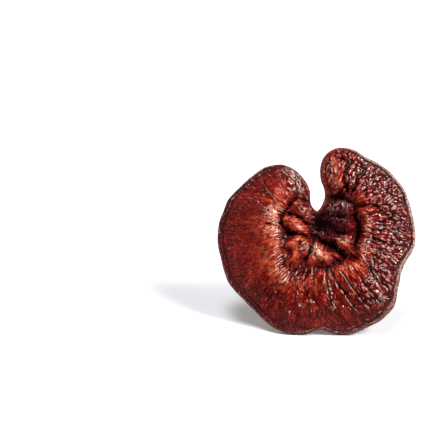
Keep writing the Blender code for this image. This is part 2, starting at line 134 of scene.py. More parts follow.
# Valleys with a sharp bottom: depth, half-width and line.
valleys = [
    # the ring round the folded middle: its left side, right side and lower right
    (2.9, 1.6, [(-3, 80.8), (-10.1, 81.2), (-15.4, 80.6), (-18.7, 76.5), (-20.4, 71),
                (-19.2, 65), (-16.5, 61)]),
    (3.8, 2.8, [(3, 83.2), (11.3, 84.3), (15.5, 82.1), (19.7, 79.8), (22.9, 73.9),
                (23.7, 62.6), (23.8, 53.7), (21.1, 47.7)]),
    (1.8, 1.8, [(1.9, 38.4), (7, 41), (12, 44.3), (17, 46.9), (21.1, 47.7)]),
    # between the folds of the middle
    (1.6, 1.3, [(-29.8, 66), (-24.9, 64.4), (-20.1, 63.9)]),
    (1.2, 1.1, [(-0.5, 72), (2.5, 69.5), (6, 70.5), (11, 71.5), (16, 71.5)]),
    (1.1, 1, [(2.5, 69.5), (5.5, 66), (10.5, 63.5), (16, 62)]),
    (1, 1, [(3, 72), (6, 74.5), (8.5, 79)]),
    (3, 1.5, [(-17.5, 73), (-13.5, 72), (-10.2, 70.5), (-6.5, 67.1), (-2.8, 64.8)]),
    (2, 1.3, [(-17, 60.4), (-10.3, 60.7), (-4.3, 58.6)]),
    (2.2, 1.4, [(-1.9, 58.1), (-3.4, 52), (-4.9, 46.6), (-7.6, 39.9)]),
    (4.4, 1.8, [(-3.2, 60.1), (2.3, 56.1), (9.5, 52.9), (14.3, 50.1), (17.9, 47.6)]),
    # up the right lobe
    (1.9, 1.1, [(11.9, 107.5), (14.5, 105.5), (16, 99.5), (15.1, 92.3), (17.1, 86.9),
                (19.7, 81.6)]),
    (1.6, 1.1, [(27.1, 102), (24.4, 96.2), (21.1, 89.5), (19.6, 82.8)]),
    # across the right side
    (1.2, 1, [(22.7, 78.7), (28.1, 77.7), (34, 77.3), (40, 74), (46.1, 67.1)]),
    (1.2, 1, [(24, 62.7), (29.9, 61.7), (37.1, 58.4), (44.3, 54)]),
]

# Long narrow creases, each with a painted highlight along its lit edge: depth and line.
creases = [
    (1.6, [(8.3, 42), (10.1, 37), (14.5, 29.6), (19.4, 24), (29.8, 12.3)]),
    (1.2, [(5.8, 38), (7.4, 32.2), (8.9, 24.7), (12.1, 19.6), (14, 16.2)]),
    (1.5, [(15.3, 40), (21.5, 31.1), (27, 24.4), (34.2, 16.6)]),
    (1.3, [(26, 36), (29, 30.9), (35.6, 24.8), (42.1, 20.4)]),
    (1.5, [(33.6, 50), (34.1, 46), (35.6, 39.3), (39.3, 33.7), (44.7, 29.2)]),
    (1.3, [(27, 50), (30.6, 45.1), (33, 39.4), (36.4, 33.7), (41, 27)]),
    (0.5, [(26.5, 67), (34, 67.5), (42, 66), (49, 63)]),
    (0.4, [(-35, 95.5), (-31, 88), (-26, 82), (-21, 76)]),
    (0.3, [(-46, 84), (-38, 80), (-31, 76)]),
]

# Hollows without one: the lower left and the bottom of the ring.
hollows = [
    (2.6, 3, [(-17.5, 60), (-18.6, 54), (-18.6, 48), (-17, 41), (-14, 37)]),
    (2.4, 2.8, [(-14, 36.8), (-8.5, 35), (-2.7, 37.1), (2, 38.4)]),
]

# Ridges and folds: height, half-width and line.
ridges = [
    # crest of the outer band
    (2.2, 5, [(-23, 86), (-27.7, 74.5), (-26, 61), (-24, 49), (-19.5, 34.5),
                (-9, 29.5), (4, 32)]),
    (2.2, 5, [(13, 37), (26, 44), (29.5, 56), (29.5, 70), (26, 82)]),
    # folds of the middle, from the upper left round to the right
    (3.8, 3.6, [(-13, 77.7), (-9, 74.5), (-5.2, 68.5)]),
    (4.2, 3.6, [(-17.5, 69), (-12.5, 66), (-5, 61.4)]),
    (4.2, 3.4, [(-16, 53.8), (-10, 55.8), (-5.2, 54.2)]),
    (3.6, 3.2, [(-14.3, 42.7), (-11.4, 46), (-9.4, 49.6)]),
    (4.6, 3.6, [(-0.8, 52.6), (1.5, 49.5), (4.4, 46)]),
    (4.6, 3, [(9.5, 58.9), (15.5, 56.4), (21.2, 52.7)]),
    (3.6, 2.6, [(7.5, 69.6), (14.5, 67.6), (20.8, 65.4)]),
    # knob over the stem
    (5.6, 5, [(5.6, 76.4), (12, 77.4), (17.6, 76.4)]),
    # swell of the two upper lobes
    (3.2, 10, [(-19, 92), (-25, 90)]),
    (3.2, 7.5, [(8.2, 102), (8.6, 94)]),
]

# Where the crust is warmer and paler: strength, half-width and line.
warmLines = [
    (0.9, 7, [(-24, 76), (-27, 68), (-26, 57), (-24, 46), (-18, 34)]),
    (0.35, 6, [(-9, 29), (2, 33), (12, 36), (22, 42)]),
    (0.25, 4.5, [(25, 44), (29, 50), (28, 60), (28, 72)]),
    (0.8, 3.4, [(10.5, 102), (9.5, 96), (12, 88)]),
    (0.8, 4, [(-18, 69), (-9, 64), (-13, 55), (-10, 48)]),
    (0.7, 3.5, [(0, 51), (5, 46.5), (14, 56), (21, 52.5)]),
]

# Where a pale sheen is painted on, as painted highlight where the lacquer catches the light: strength,
# half-width and line.
paintedSheenLines = [
    (1, 5, [(-15.5, 96.5), (-11.5, 92.5), (-9, 86.5)]),
    (0.9, 2.8, [(-29.3, 72.2), (-25.5, 71.5), (-22, 73)]),
    (0.6, 1.8, [(-31.8, 64.2), (-30, 62)]),
    (0.7, 2.8, [(-26.4, 62.1), (-22, 58.5), (-20, 53.5)]),
    (0.3, 2.4, [(-23, 47.5), (-20.8, 41.5), (-18, 34)]),
    (0.9, 2.8, [(-8.7, 76.5), (-6.8, 74.8)]),
    (0.7, 1.6, [(-12.4, 67.4), (-10.5, 64.5)]),
    (0.7, 1.6, [(-7.7, 55.1), (-5.8, 52.3)]),
    (0.7, 3, [(-1, 50.7), (2.6, 48.5), (6.8, 46.3)]),
    (0.9, 1.7, [(15.7, 58.4), (19.9, 55.7)]),
    (0.7, 1.3, [(13, 51.9), (14.8, 50.2)]),
    (0.5, 2.2, [(-13.9, 36.6), (-8.5, 35), (-2.7, 37.1), (1.9, 38.4)]),
    (0.4, 2.6, [(8, 78), (14.3, 77.3), (18.4, 78)]),
    (0.6, 2.6, [(33.6, 32.8), (37.2, 28.9), (41.5, 24)]),
    (0.5, 1.6, [(9, 27), (10.5, 21)]),
    (0.4, 1.8, [(24, 31.5), (29, 25.5)]),
    (0.44, 7, [(30, 94), (41, 84), (46, 66), (42, 48), (38, 32)]),
    (0.5, 3, [(9, 104), (16, 98), (20, 102)]),
    (0.6, 3.6, [(8, 102), (9, 96), (11, 90)]),
    (0.4, 2.2, [(9, 72), (15, 71)]),
]

# Where the crust lies in fine curls, like the whorls of a fingertip.
curlLines = [
    (1, 4, [(-30, 74), (-26, 70.5), (-24, 64), (-23, 58)]),
    (0.8, 3.4, [(-15.5, 96), (-11, 91.5), (-9.5, 86)]),
    (0.8, 2.6, [(-10, 76.5), (-6, 73.5)]),
    (0.7, 2.2, [(-13.5, 67.5), (-9, 63.5)]),
    (0.8, 2.4, [(-9.5, 56), (-6, 52.5)]),
    (0.9, 3.2, [(-1, 52), (1.5, 49.5), (5.5, 46.5)]),
    (0.8, 2.6, [(12.5, 58), (19.5, 54.5)]),
    (0.3, 3.6, [(9.5, 103), (8, 96), (11, 89)]),
    (0.75, 4, [(8, 77.5), (16, 77.5)]),
    (0.8, 3.4, [(30, 69), (30.5, 60), (28.5, 50)]),
    (0.45, 3, [(4, 35), (14, 38), (24, 43.5)]),
    (0.7, 3, [(33, 35), (38, 28), (41, 23)]),
]

# Where close ridges like the rungs of a ladder run out from the hub.
ladderLines = [
    (1, 2.8, [(-22.8, 46.5), (-21.3, 42.7), (-18.9, 37), (-17, 32)]),
    (0.6, 2.6, [(-26, 62), (-22.5, 58.5), (-20.5, 54.5)]),
]

# Zones of the crust, where the strongest part counts: strength, then its fades across the
# cap, each with its axis (0 for x, 1 for v), where it starts and where it is full.
zones = {
    "secondLine": [(0.6, (0, -10, -30))],
    "beaded": [(1.0, (0, 10, 35)), (1.0, (0, -30, -42), (1, 66, 82))],
    "calm": [(1.0, (0, -22, -40), (1, 92, 78)), (0.5, (0, -4, -16), (1, 76, 84))],
    "bottom": [(1.0, (1, 26, 10))],
    # dusk darkens towards the margin: on the left and bottom bands, which face away from the light, it
    # is painted shade
    "dusk": [(1.0, (0, -18, -36)), (1.0, (1, 34, 16)), (0.9, (0, 16, 34)),
             (0.9, (0, -4, -14), (1, 76, 92)), (1.0, (0, 8, 3), (0, -5, -3), (1, 78, 86))],
}

farOff = 1e3     # further than anything is, in millimetres
chunk = 2000     # points reckoned with at a time


def through(points, closed):
    # many points of the smooth curve through a few
    dots = np.array(points, float)
    if closed:
        dots = np.vstack([dots[-1], dots, dots[0], dots[1]])
    else:
        dots = np.vstack([2 * dots[0] - dots[1], dots, 2 * dots[-1] - dots[-2]])
    share = np.linspace(0.0, 1.0, cap["curveSteps"], endpoint=False)[:, None]
    runs = []
    for a, b, c, d in zip(dots, dots[1:], dots[2:], dots[3:]):
        square = (2 * a - 5 * b + 4 * c - d) * share**2
        cube = (3 * b - a - 3 * c + d) * share**3
        runs.append(b + 0.5 * ((c - a) * share + square + cube))
    runs.append(dots[-2:-1])
    return np.vstack(runs)


def evenly(line, count, closed):
    steps = np.linalg.norm(np.diff(line[:, :2], axis=0), axis=1)
    along = np.concatenate([[0.0], np.cumsum(steps)])
    wanted = np.linspace(0.0, along[-1], count, endpoint=not closed)
    return np.column_stack([np.interp(wanted, along, column) for column in line.T])


def outward(ring):
    ahead = np.roll(ring, -2, axis=0) - np.roll(ring, 2, axis=0)
    normal = np.column_stack([ahead[:, 1], -ahead[:, 0]])
    return normal / np.linalg.norm(normal, axis=1)[:, None]


def chunksOf(rows):
    return np.array_split(rows, len(rows) // chunk + 1)


def awayFrom(plan, line, reach):
    # distance of each point from a line, or a large number where it is past the reach,
    # and how far along the line its nearest point is, from 0 to 1
    away, along = np.full(len(plan), farOff), np.zeros(len(plan))
    low, high = line.min(axis=0) - reach, line.max(axis=0) + reach
    close = np.flatnonzero(((plan > low) & (plan < high)).all(axis=1))
    start, step = line[:-1], np.diff(line, axis=0)
    for part in chunksOf(close):
        share = unit(((plan[part][:, None] - start) * step).sum(-1) / (step**2).sum(-1))
        gaps = np.linalg.norm(plan[part][:, None] - start - share[..., None] * step, axis=-1)
        nearest = gaps.argmin(axis=-1)
        rows = np.arange(len(part))
        away[part] = gaps[rows, nearest]
        along[part] = (nearest + share[rows, nearest]) / len(step)
    return away, along


def within(plan, ring):
    # which points lie inside a ring, by counting crossings
    result = np.zeros(len(plan), bool)
    near, far = ring, np.roll(ring, -1, axis=0)
    climb = np.where(far[:, 1] == near[:, 1], 1.0, far[:, 1] - near[:, 1])
    for part in chunksOf(np.arange(len(plan))):
        x, v = plan[part][:, None, 0], plan[part][:, None, 1]
        spans = (near[:, 1] > v) != (far[:, 1] > v)
        meets = near[:, 0] + (v - near[:, 1]) * (far[:, 0] - near[:, 0]) / climb
        result[part] = (spans & (x < meets)).sum(axis=1) % 2 == 1
    return result


def smoothNoise(plan, size, name):
    level = cap["noiseLevels"][name]
    return np.array([noise.noise(Vector((x / size, v / size, level))) for x, v in plan])


def unit(value):
    return np.clip(value, 0.0, 1.0)


def rise(value, none, full):
    # from 0 to 1 between two values, smoothly; the second may be the lower one
    share = unit((value - none) / (full - none))
    return share * share * (3.0 - 2.0 * share)


def bell(away, width):
    return np.exp(-((away / width) ** 2))


def zone(plan, name):
    shares = []
    for strength, *fades in zones[name]:
        share = strength
        for axis, none, full in fades:
            share = share * rise(plan[:, axis], none, full)
        shares.append(share)
    return np.max(shares, axis=0)


def fromSpot(plan, x, v, halfWidth=1.0, halfHeight=1.0):
    # distance from a spot, in millimetres or in its own half-width and half-height
    return np.hypot((plan[:, 0] - x) / halfWidth, (plan[:, 1] - v) / halfHeight)


def treeOf(dots):
    # finds the nearest of some dots
    tree = kdtree.KDTree(len(dots))
    for index, dot in enumerate(dots):
        tree.insert((dot[0], dot[1], 0.0), index)
    tree.balance()
    return tree


# The margin, its way out, its lip's width and paleness, its edge and its dark line
margin = evenly(through(marginLine, True), cap["marginPoints"], True)
marginOut = outward(margin[:, :2])
waver = smoothNoise(margin[:, :2], cap["marginWaverSize"], "margin")
margin[:, :2] -= (cap["skin"] + cap["marginWaver"] * np.maximum(waver, 0.0))[:, None] * marginOut
marginTurn = np.degrees(np.arctan2(margin[:, 1] - cap["hub"][1], margin[:, 0] - cap["hub"][0]))
lip, lipPale, edged, lined = (
    np.interp(marginTurn, *zip(*table)) for table in (lipWidths, lipPales, edgeShares, lineShares)
)
lip += cap["lipWaver"] * smoothNoise(margin[:, :2], cap["marginWaverSize"], "lip")
lined *= edged
lined *= 1.0 + cap["lineWaver"] * smoothNoise(margin[:, :2], cap["lineWaverSize"], "line")
marginTree = treeOf(margin)


def fromMargin(plan):
    # distance from the margin, and the lip's width and paleness, the edge's share and the
    # dark line's share there
    found = [marginTree.find((x, v, 0.0)) for x, v in plan]
    nearest = np.array([index for _, index, _ in found])
    gap = plan - margin[nearest, :2]
    ahead = np.column_stack([-marginOut[nearest, 1], marginOut[nearest, 0]])
    slide = np.clip((gap * ahead).sum(1), -cap["slide"], cap["slide"])[:, None] * ahead
    away = np.linalg.norm(gap - slide, axis=1)
    return [away, *(values[nearest] for values in (lip, lipPale, edged, lined))]


def plate(plan):
    # height of the cap's middle sheet, spread in from the waving margin
    dots = margin[:: len(margin) // cap["plateDots"]]
    height = np.zeros(len(plan))
    for part in chunksOf(np.arange(len(plan))):
        square = ((plan[part][:, None] - dots[:, :2]) ** 2).sum(-1)
        weight = 1.0 / (square + 1.0) ** 2
        height[part] = (weight * dots[:, 2]).sum(1) / weight.sum(1)
    return height


def poreHeight(plan, inset):
    # height of the pore side, which hollows in from the margin
    return plate(plan) - cap["marginHalf"] - cap["poreDrop"] * (1.0 - np.exp(-inset / cap["poreRun"]))


def strongest(plan, features):
    # size of the strongest feature, and how near the bottom or crest of one is
    total, core = np.zeros(len(plan)), np.zeros(len(plan))
    for size, halfWidth, line in features:
        away, along = awayFrom(plan, through(line, False), cap["featureReach"] * halfWidth)
        total += (size * bell(away, halfWidth)) ** 4
        taper = rise(along, 1.0, cap["crackTaper"])
        core = np.maximum(core, size * taper * bell(away, cap["crackWidth"]))
    return total**0.25, core


def creased(plan):
    # depth of the long creases, and the painted highlight along the lit edge at their lower left
    depth, edges = np.zeros(len(plan)), np.zeros(len(plan))
    reach = cap["creaseReach"]
    for size, line in creases:
        away, along = awayFrom(plan, through(line, False), reach)
        shown = size * rise(along, 0.0, cap["creaseStart"]) * rise(along, 1.0, cap["creaseTaper"])
        depth = np.maximum(depth, shown * bell(away, cap["creaseWidth"]))
        beside, _ = awayFrom(plan + cap["creaseHighlight"], through(line, False), reach)
        edges = np.maximum(edges, shown * bell(beside, cap["creaseHighlightWidth"]))
    return depth, edges


def polarOf(plan):
    # the way out from the hub as a unit vector, and the distance
    x, v = plan[:, 0] - cap["hub"][0], plan[:, 1] - cap["hub"][1]
    away = np.maximum(np.hypot(x, v), 1e-3)
    return np.column_stack([x / away, v / away, away])


def topForm(plan):
    # height of the top with its folds, and the masks that its finish reads
    away, lipHere, paleHere, edgeHere, lineHere = fromMargin(plan)
    inset = np.maximum(away - cap["domeStart"], 0.0)
    height = plate(plan) + cap["marginHalf"]
    height += cap["domeRise"] * (1.0 - np.exp(-inset / cap["domeRun"]))
    second = zone(plan, "secondLine") * bell(away - cap["secondInset"], cap["grooveWidth"])
    # the dark line inside the lip is a groove whose dark colour is painted shade
    groove = lineHere * np.maximum(bell(away - lipHere, cap["grooveWidth"]), second)
    bead = zone(plan, "beaded") * bell(away - lipHere - cap["beadInset"], cap["beadWidth"])
    fromHub = fromSpot(plan, *cap["hub"])
    height += cap["beadHeight"] * bead - cap["grooveDepth"] * groove
    height -= cap["bowlDepth"] * bell(fromHub, cap["bowlReach"])
    height -= cap["funnelDepth"] * bell(fromSpot(plan, *cap["funnel"]), cap["funnelReach"])

    wander = [smoothNoise(plan, cap["wanderSize"], name) for name in ("wanderX", "wanderV")]
    wander = cap["wander"] * np.column_stack(wander)
    strayed = plan + wander
    low, crack = strongest(strayed, valleys)
    sunk = np.maximum(low, strongest(strayed, hollows)[0])
    crease, creaseHighlights = creased(plan + cap["creaseStray"] * wander)
    high, warm, paintedSheen, curly = (
        strongest(strayed, lines)[0] for lines in (ridges, warmLines, paintedSheenLines, curlLines)
    )
    side = 0.5 + 0.5 * np.tanh((plan[:, 0] - cap["calmX"]) / cap["calmBlend"])
    swell = cap["calmShare"] + (1.0 - cap["calmShare"]) * side
    lumps = cap["lumpHeight"] * smoothNoise(plan, cap["lumpSize"], "lumps")
    relief = high - sunk - cap["crackShare"] * crack - crease + swell * lumps
    height += (1.0 - np.exp(-inset / cap["reliefRun"])) * relief
    height = np.maximum(height, poreHeight(plan, inset) + cap["thinnest"])

    inLip = rise(away, *(lipHere + gap for gap in cap["inLip"]))
    calm = zone(plan, "calm")
    lively = 1.0 - cap["calmed"] * calm - cap["bottomCalmed"] * zone(plan, "bottom") * (1.0 - calm)
    hubAway, knobAway, pitAway = (fromSpot(plan, *spot) for spot in cap["darkSpots"])
    # the pit in the funnel over the stem is painted near black, as painted shade
    pit = np.exp(-(pitAway**4))
    ladder = rise(strongest(plan, ladderLines)[0], *cap["ladderFade"])
    return height, {
        "fold": high / cap["foldFull"],
        "crack": unit(np.maximum(crack / cap["crackFull"], cap["creaseShare"] * crease)),
        "groove": groove,
        "deep": inLip * unit(sunk / cap["deepFull"]),
        "middle": rise(fromHub, *cap["middleFade"]),
        "paintedSheen": unit(np.maximum(paintedSheen, cap["beadSheen"] * bead)),
        "creaseHighlight": inLip * unit(creaseHighlights),
        "hubDark": np.exp(-(np.minimum(hubAway, knobAway) ** 4)),
        "pit": pit,
        "warm": unit(warm),
        "lip": paleHere * rise(away, *(lipHere * share for share in cap["lipFade"])),
        "rim": edgeHere * rise(away, *(lipHere + gap for gap in cap["rimFade"])),
        "dusk": zone(plan, "dusk") * rise(away, *cap["duskFade"]),
        "cobbled": inLip * lively * (1.0 - cap["pitCalmed"] * pit),
        "ladder": inLip * ladder,
        "curly": inLip * unit(curly) * (1.0 - ladder),
    }


def lattice(ring, step):
    low, high = ring.min(axis=0), ring.max(axis=0)
    rowStep = step * math.sqrt(0.75)
    rows, columns = int((high[1] - low[1]) / rowStep) + 1, int((high[0] - low[0]) / step) + 2
    row, column = np.meshgrid(np.arange(rows), np.arange(columns), indexing="ij")
    across = low[0] + step * (column - 0.5 * (row % 2))
    return np.column_stack([across.ravel(), (low[1] + row * rowStep).ravel()])


def clearOf(spots, dots, step):
    # the spots that are further than most of a step from every dot
    tree = treeOf(dots)
    return spots[[tree.find((x, v, 0.0))[2] > cap["clearShare"] * step for x, v in spots]]


def trianglesBetween(dots, outer, inner=()):
    # triangles over dots that start with an outer ring and, if there is one, a hole's ring
    edges = []
    for first, count in ((0, len(outer)), (len(outer), len(inner))):
        edges += [(first + i, first + (i + 1) % count) for i in range(count)]
    insideOnly, closeness = 1, 1e-6
    points = [Vector(dot) for dot in dots]
    _, _, faces, sources, *_ = delaunay_2d_cdt(points, edges, [], insideOnly, closeness)
    given = np.array([source[0] for source in sources])
    triangles = given[np.array(faces)]
    if len(inner):
        triangles = triangles[~within(dots[triangles].mean(axis=1), inner)]
    return triangles


def leaned(points):
    # points x, v, w of the cap's plane, in metres in the frame
    x, v, w = np.asarray(points, float).T
    lean = math.radians(cap["leanDegrees"])
    y = v * math.sin(lean) - w * math.cos(lean)
    z = v * math.cos(lean) + w * math.sin(lean) - cap["sink"]
    placed = np.column_stack([x - cap["middle"][0], y - cap["middle"][1], np.maximum(z, 0.0)])
    return placed * mm


class SkinMesh:
    # gathers points with their masks, and faces between them
    names = (
        "fold", "crack", "deep", "middle", "creaseHighlight", "groove", "hubDark", "pit", "warm", "dusk",
        "paintedSheen", "lip", "rim", "cobbled", "ladder", "curly", "pore", "stalk", "edgeAway",
    )

    def __init__(self):
        self.points, self.masks, self.polar, self.faces = [], [], [], []
        self.count = 0

    def add(self, plan, w, masks):
        # a mask that isn't given is 0
        first, added = self.count, len(plan)
        self.points.append(leaned(np.column_stack([plan, np.broadcast_to(w, added)])))
        columns = [np.broadcast_to(masks.get(name, 0.0), added) for name in self.names]
        self.masks.append(np.column_stack(columns))
        self.polar.append(polarOf(plan))
        self.count += added
        return np.arange(first, self.count)

    def joinRings(self, rings):
        for near, far in zip(rings, rings[1:]):
            self.faces += np.column_stack([near, far, np.roll(far, -1), np.roll(near, -1)]).tolist()

    def build(self, name):
        mesh = bpy.data.meshes.new(name)
        mesh.from_pydata(np.vstack(self.points).tolist(), [], self.faces)
        values = np.vstack(self.masks).astype(np.float32)
        for column, maskName in zip(values.T, self.names):
            mesh.attributes.new(maskName, "FLOAT", "POINT").data.foreach_set("value", column)
        polar = np.vstack(self.polar).astype(np.float32).ravel()
        mesh.attributes.new("polar", "FLOAT_VECTOR", "POINT").data.foreach_set("vector", polar)
        mesh.shade_smooth()
        return mesh


def buildCapBase():
    skin = SkinMesh()
    shoulder = margin[:, :2] - cap["shoulderShare"] * lip[:, None] * marginOut
    rings = [shoulder - cap["bandStep"] * i * marginOut for i in range(cap["bandRings"])]
    spots = lattice(shoulder, cap["step"])
    spots = clearOf(spots[within(spots, rings[-1])], rings[-1], cap["step"])
    plan = np.vstack([*rings, spots])
    height, masks = topForm(plan)
    top = skin.add(plan, height, masks)
    topFaces = trianglesBetween(plan, shoulder)
    skin.faces += topFaces.tolist()
    print("cap top:", len(plan), "points,", len(topFaces), "triangles")

    # the rolled edge, from the shoulder round to the pore side
    count, backWidth = cap["marginPoints"], cap["backWidth"]
    roll = []
    for row in range(1, cap["rollRows"]):
        angle = math.pi * (0.5 - row / cap["rollRows"])
        width, depth = np.full(count, backWidth), cap["marginHalf"]
        if angle > 0:
            width, depth = cap["shoulderShare"] * lip, height[:count] - margin[:, 2]
        flat = margin[:, :2] - (width * (1.0 - math.cos(angle)))[:, None] * marginOut
        lift = math.sin(angle)
        roll.append(skin.add(flat, margin[:, 2] + depth * lift, {
            "lip": lipPale * rise(lift, *cap["rollLip"]), "rim": edged,
            "pore": rise(lift, *cap["rollPore"]),
        }))

    # the pore side and the neck
    back = margin[:, :2] - backWidth * marginOut
    neck, foot = neckRings(back)
    spots = lattice(back, cap["poreStep"])
    spots = spots[within(spots, back) & ~within(spots, foot)]
    spots = clearOf(spots, np.vstack([back, foot]), cap["poreStep"])
    porePlan = np.vstack([back, foot, spots])
    away = fromMargin(porePlan)[0]
    inset = np.maximum(away - backWidth, 0.0)
    wave = cap["poreWave"] * smoothNoise(porePlan, cap["poreWaveSize"], "poreWave")
    bent = smoothNoise(porePlan, cap["poreZoneStraySize"], "poreZone")
    bent = away + cap["poreZoneStray"] * bent
    ripple = cap["poreZone"] * np.sin(2.0 * math.pi * bent / cap["poreZoneSize"])
    relief = wave + ripple * np.exp(-inset / cap["poreRun"])
    poreW = poreHeight(porePlan, inset) + (1.0 - np.exp(-inset / cap["poreReliefRun"])) * relief
    pore = skin.add(porePlan, poreW, {"pore": 1.0, "edgeAway": away})
    poreFaces = trianglesBetween(porePlan, back, foot)
    skin.faces += pore[poreFaces[:, ::-1]].tolist()
    skin.joinRings([top[:count], *roll, pore[:count]])

    joint = slice(count, count + cap["neckPoints"])
    flare, footW = [pore[joint]], poreW[joint]
    for row in range(1, cap["flareRows"] + 1):
        share = row / cap["flareRows"]
        angle = 0.5 * math.pi * share
        flat = foot + (neck - foot) * math.sin(angle)
        w = footW + (stem["collarW"] - footW) * (1.0 - math.cos(angle))
        stalk = rise(share, *cap["flareStalk"])
        cobbled = cap["flareCobbled"] * stalk * rise(share, *cap["flareSettles"])
        flare.append(skin.add(flat, w, {
            "pore": 1.0 - stalk, "stalk": stalk, "cobbled": cobbled, "edgeAway": cap["flareAway"],
        }))
    middle = neck.mean(axis=0)
    for shrink, deeper in stem["endRings"]:
        flat = middle + shrink * (neck - middle)
        flare.append(skin.add(flat, stem["collarW"] - deeper, {"stalk": 1.0}))
    skin.joinRings(flare)
    skin.faces.append(flare[-1][::-1].tolist())
    print("cap faces:", len(skin.faces))
    return skin.build("capCrust")


stem = {
    "collar": (10.0, 68.0), "collarW": -18.0, "collarRadius": 9.5,
    "flare": 11.0, "flareShare": 0.6, "flareRibs": 5, "flareRibShare": 0.25,
    "foot": (2.0, 63.1), "footRadius": 9.25,
    "pullTop": 24.0, "pullFoot": 30.0,   # how far each end of the stem runs straight
    "overlap": 1.5,                      # the stem starts this far inside the neck
    "lap": 0.15,                         # and the neck's rim is this much narrower
    "evenFrom": 0.02, "evenTo": 0.14,    # its knobs grow over this share of its length
    "waist": 0.14, "knobShare": 0.30, "knobSize": 11.0,
    "sides": 160, "steps": 130,
    "wrinkleHeight": 0.5, "wrinkleSize": 2.2, "wrinkleStretch": 3.0,
    # the neck's end inside the stem: how much narrower and deeper each ring is
    "endRings": [(0.98, 0.5), (0.94, 0.9), (0.8, 1.3), (0.4, 1.5)],
}


def neckRings(edge):
    # the neck's outline where the stem joins it, and the foot of its flare
    turn = np.linspace(0.0, 2 * math.pi, cap["neckPoints"], endpoint=False)
    out = np.column_stack([np.cos(turn), np.sin(turn)])
    neck = np.array(stem["collar"]) + (stem["collarRadius"] - stem["lap"]) * out
    room, _ = awayFrom(neck, np.vstack([edge, edge[:1]]), farOff)
    ribs = 1.0 + stem["flareRibShare"] * np.sin(stem["flareRibs"] * turn)
    spread = np.minimum(stem["flare"] * ribs, stem["flareShare"] * room)
    return neck, neck + spread[:, None] * out


# Node helpers, for geometry trees and materials alike
class Flow:
    # an output in a node tree, to be reckoned with like a number or a vector
    def __init__(self, tree, socket):
        self.tree, self.socket = tree, socket
        self.isVector = socket.type in ("VECTOR", "RGBA")

    def __add__(self, other):
        return reckon("ADD", self, other)

    def __sub__(self, other):
        return reckon("SUBTRACT", self, other)

    def __rsub__(self, other):
        return reckon("SUBTRACT", other, self)

    def __mul__(self, other):
        return reckon("MULTIPLY", self, other)

    def __truediv__(self, other):
        return self * (1.0 / other)

    def __rtruediv__(self, other):
        return reckon("DIVIDE", other, self)

    def fit(self, low, high, toLow=0.0, toHigh=1.0, **settings):
        # runs from toLow to toHigh as this runs from low to high, and no further
        inputs = {0: self, 1: low, 2: high, 3: toLow, 4: toHigh}
        return make(self.tree, "ShaderNodeMapRange", inputs, **settings)

    def clamped(self):
        return reckon("ADD", self, 0.0, use_clamp=True)


def setInputs(node, inputs):
    for key, value in inputs.items():
        if isinstance(value, Flow):
            value.tree.links.new(value.socket, node.inputs[key])
        else:
            node.inputs[key].default_value = value


def addNode(tree, kind, inputs=None, **settings):
    node = tree.nodes.new(kind)
    for name, value in settings.items():
        setattr(node, name, value)
    setInputs(node, inputs or {})
    return node


def make(tree, kind, inputs=None, output=0, **settings):
    return Flow(tree, addNode(tree, kind, inputs, **settings).outputs[output])


def reckon(operation, *values, **settings):
    # a sum on numbers, or on vectors where the first output among the values is one
    first = next(value for value in values if isinstance(value, Flow))
    inputs = dict(enumerate(values))
    if not first.isVector:
        return make(first.tree, "ShaderNodeMath", inputs, operation=operation, **settings)
    byVector = isinstance(values[1], tuple) or getattr(values[1], "isVector", False)
    if operation == "MULTIPLY" and not byVector:
        operation, inputs = "SCALE", {0: values[0], "Scale": values[1]}
    return make(first.tree, "ShaderNodeVectorMath", inputs, operation=operation)


def greatest(first, *others):
    for other in others:
        first = reckon("MAXIMUM", first, other)
    return first


def parts(vector):
    node = addNode(vector.tree, "ShaderNodeSeparateXYZ", {0: vector})
    return [Flow(vector.tree, output) for output in node.outputs]


def joined(tree, *values):
    return make(tree, "ShaderNodeCombineXYZ", dict(enumerate(values)))


def noiseAt(place, detail=2.0, output=0):
    inputs = {"Vector": place, "Scale": 1.0, "Detail": detail}
    return make(place.tree, "ShaderNodeTexNoise", inputs, output)


def cellsAt(place, feature="F1"):
    # distance from the middle of a cell, or from the edge between two
    inputs = {"Vector": place, "Scale": 1.0}
    return make(place.tree, "ShaderNodeTexVoronoi", inputs, "Distance", feature=feature)


def between(share, first, second):
    return make(share.tree, "ShaderNodeMix", {0: share, 2: first, 3: second})


def newTree(name, kind, inputs, outputs):
    tree = bpy.data.node_groups.new(name, kind)
    for label, socketKind, value in inputs:
        socket = tree.interface.new_socket(label, in_out="INPUT", socket_type="NodeSocket" + socketKind)
        if value is not None:
            socket.default_value = value
    for label, socketKind in outputs:
        tree.interface.new_socket(label, in_out="OUTPUT", socket_type="NodeSocket" + socketKind)
    given = {socket.name: Flow(tree, socket) for socket in tree.nodes.new("NodeGroupInput").outputs}
    return tree, given, tree.nodes.new("NodeGroupOutput")


def newShapeTree(name, inputs):
    ends = [("Geometry", "Geometry", None), ("Material", "Material", None)]
    return newTree(name, "GeometryNodeTree", [*ends, *inputs], [("Geometry", "Geometry")])


def finishShape(geometry, notes, shift, given, result):
    # notes numbers for the finish, moves the points and leaves one plain painted mesh
    tree = geometry.tree
    for name, value in notes.items():
        geometry = make(tree, "GeometryNodeStoreNamedAttribute", {
            "Geometry": geometry, "Name": name, "Value": value,
        }, data_type="FLOAT_VECTOR" if value.isVector else "FLOAT", domain="POINT")
    moved = make(tree, "GeometryNodeSetPosition", {"Geometry": geometry, "Offset": shift})
    plain = make(tree, "GeometryNodeRealizeInstances", {"Geometry": moved})
    inputs = {"Geometry": plain, "Material": given["Material"]}
    setInputs(result, {"Geometry": make(tree, "GeometryNodeSetMaterial", inputs)})
    return tree


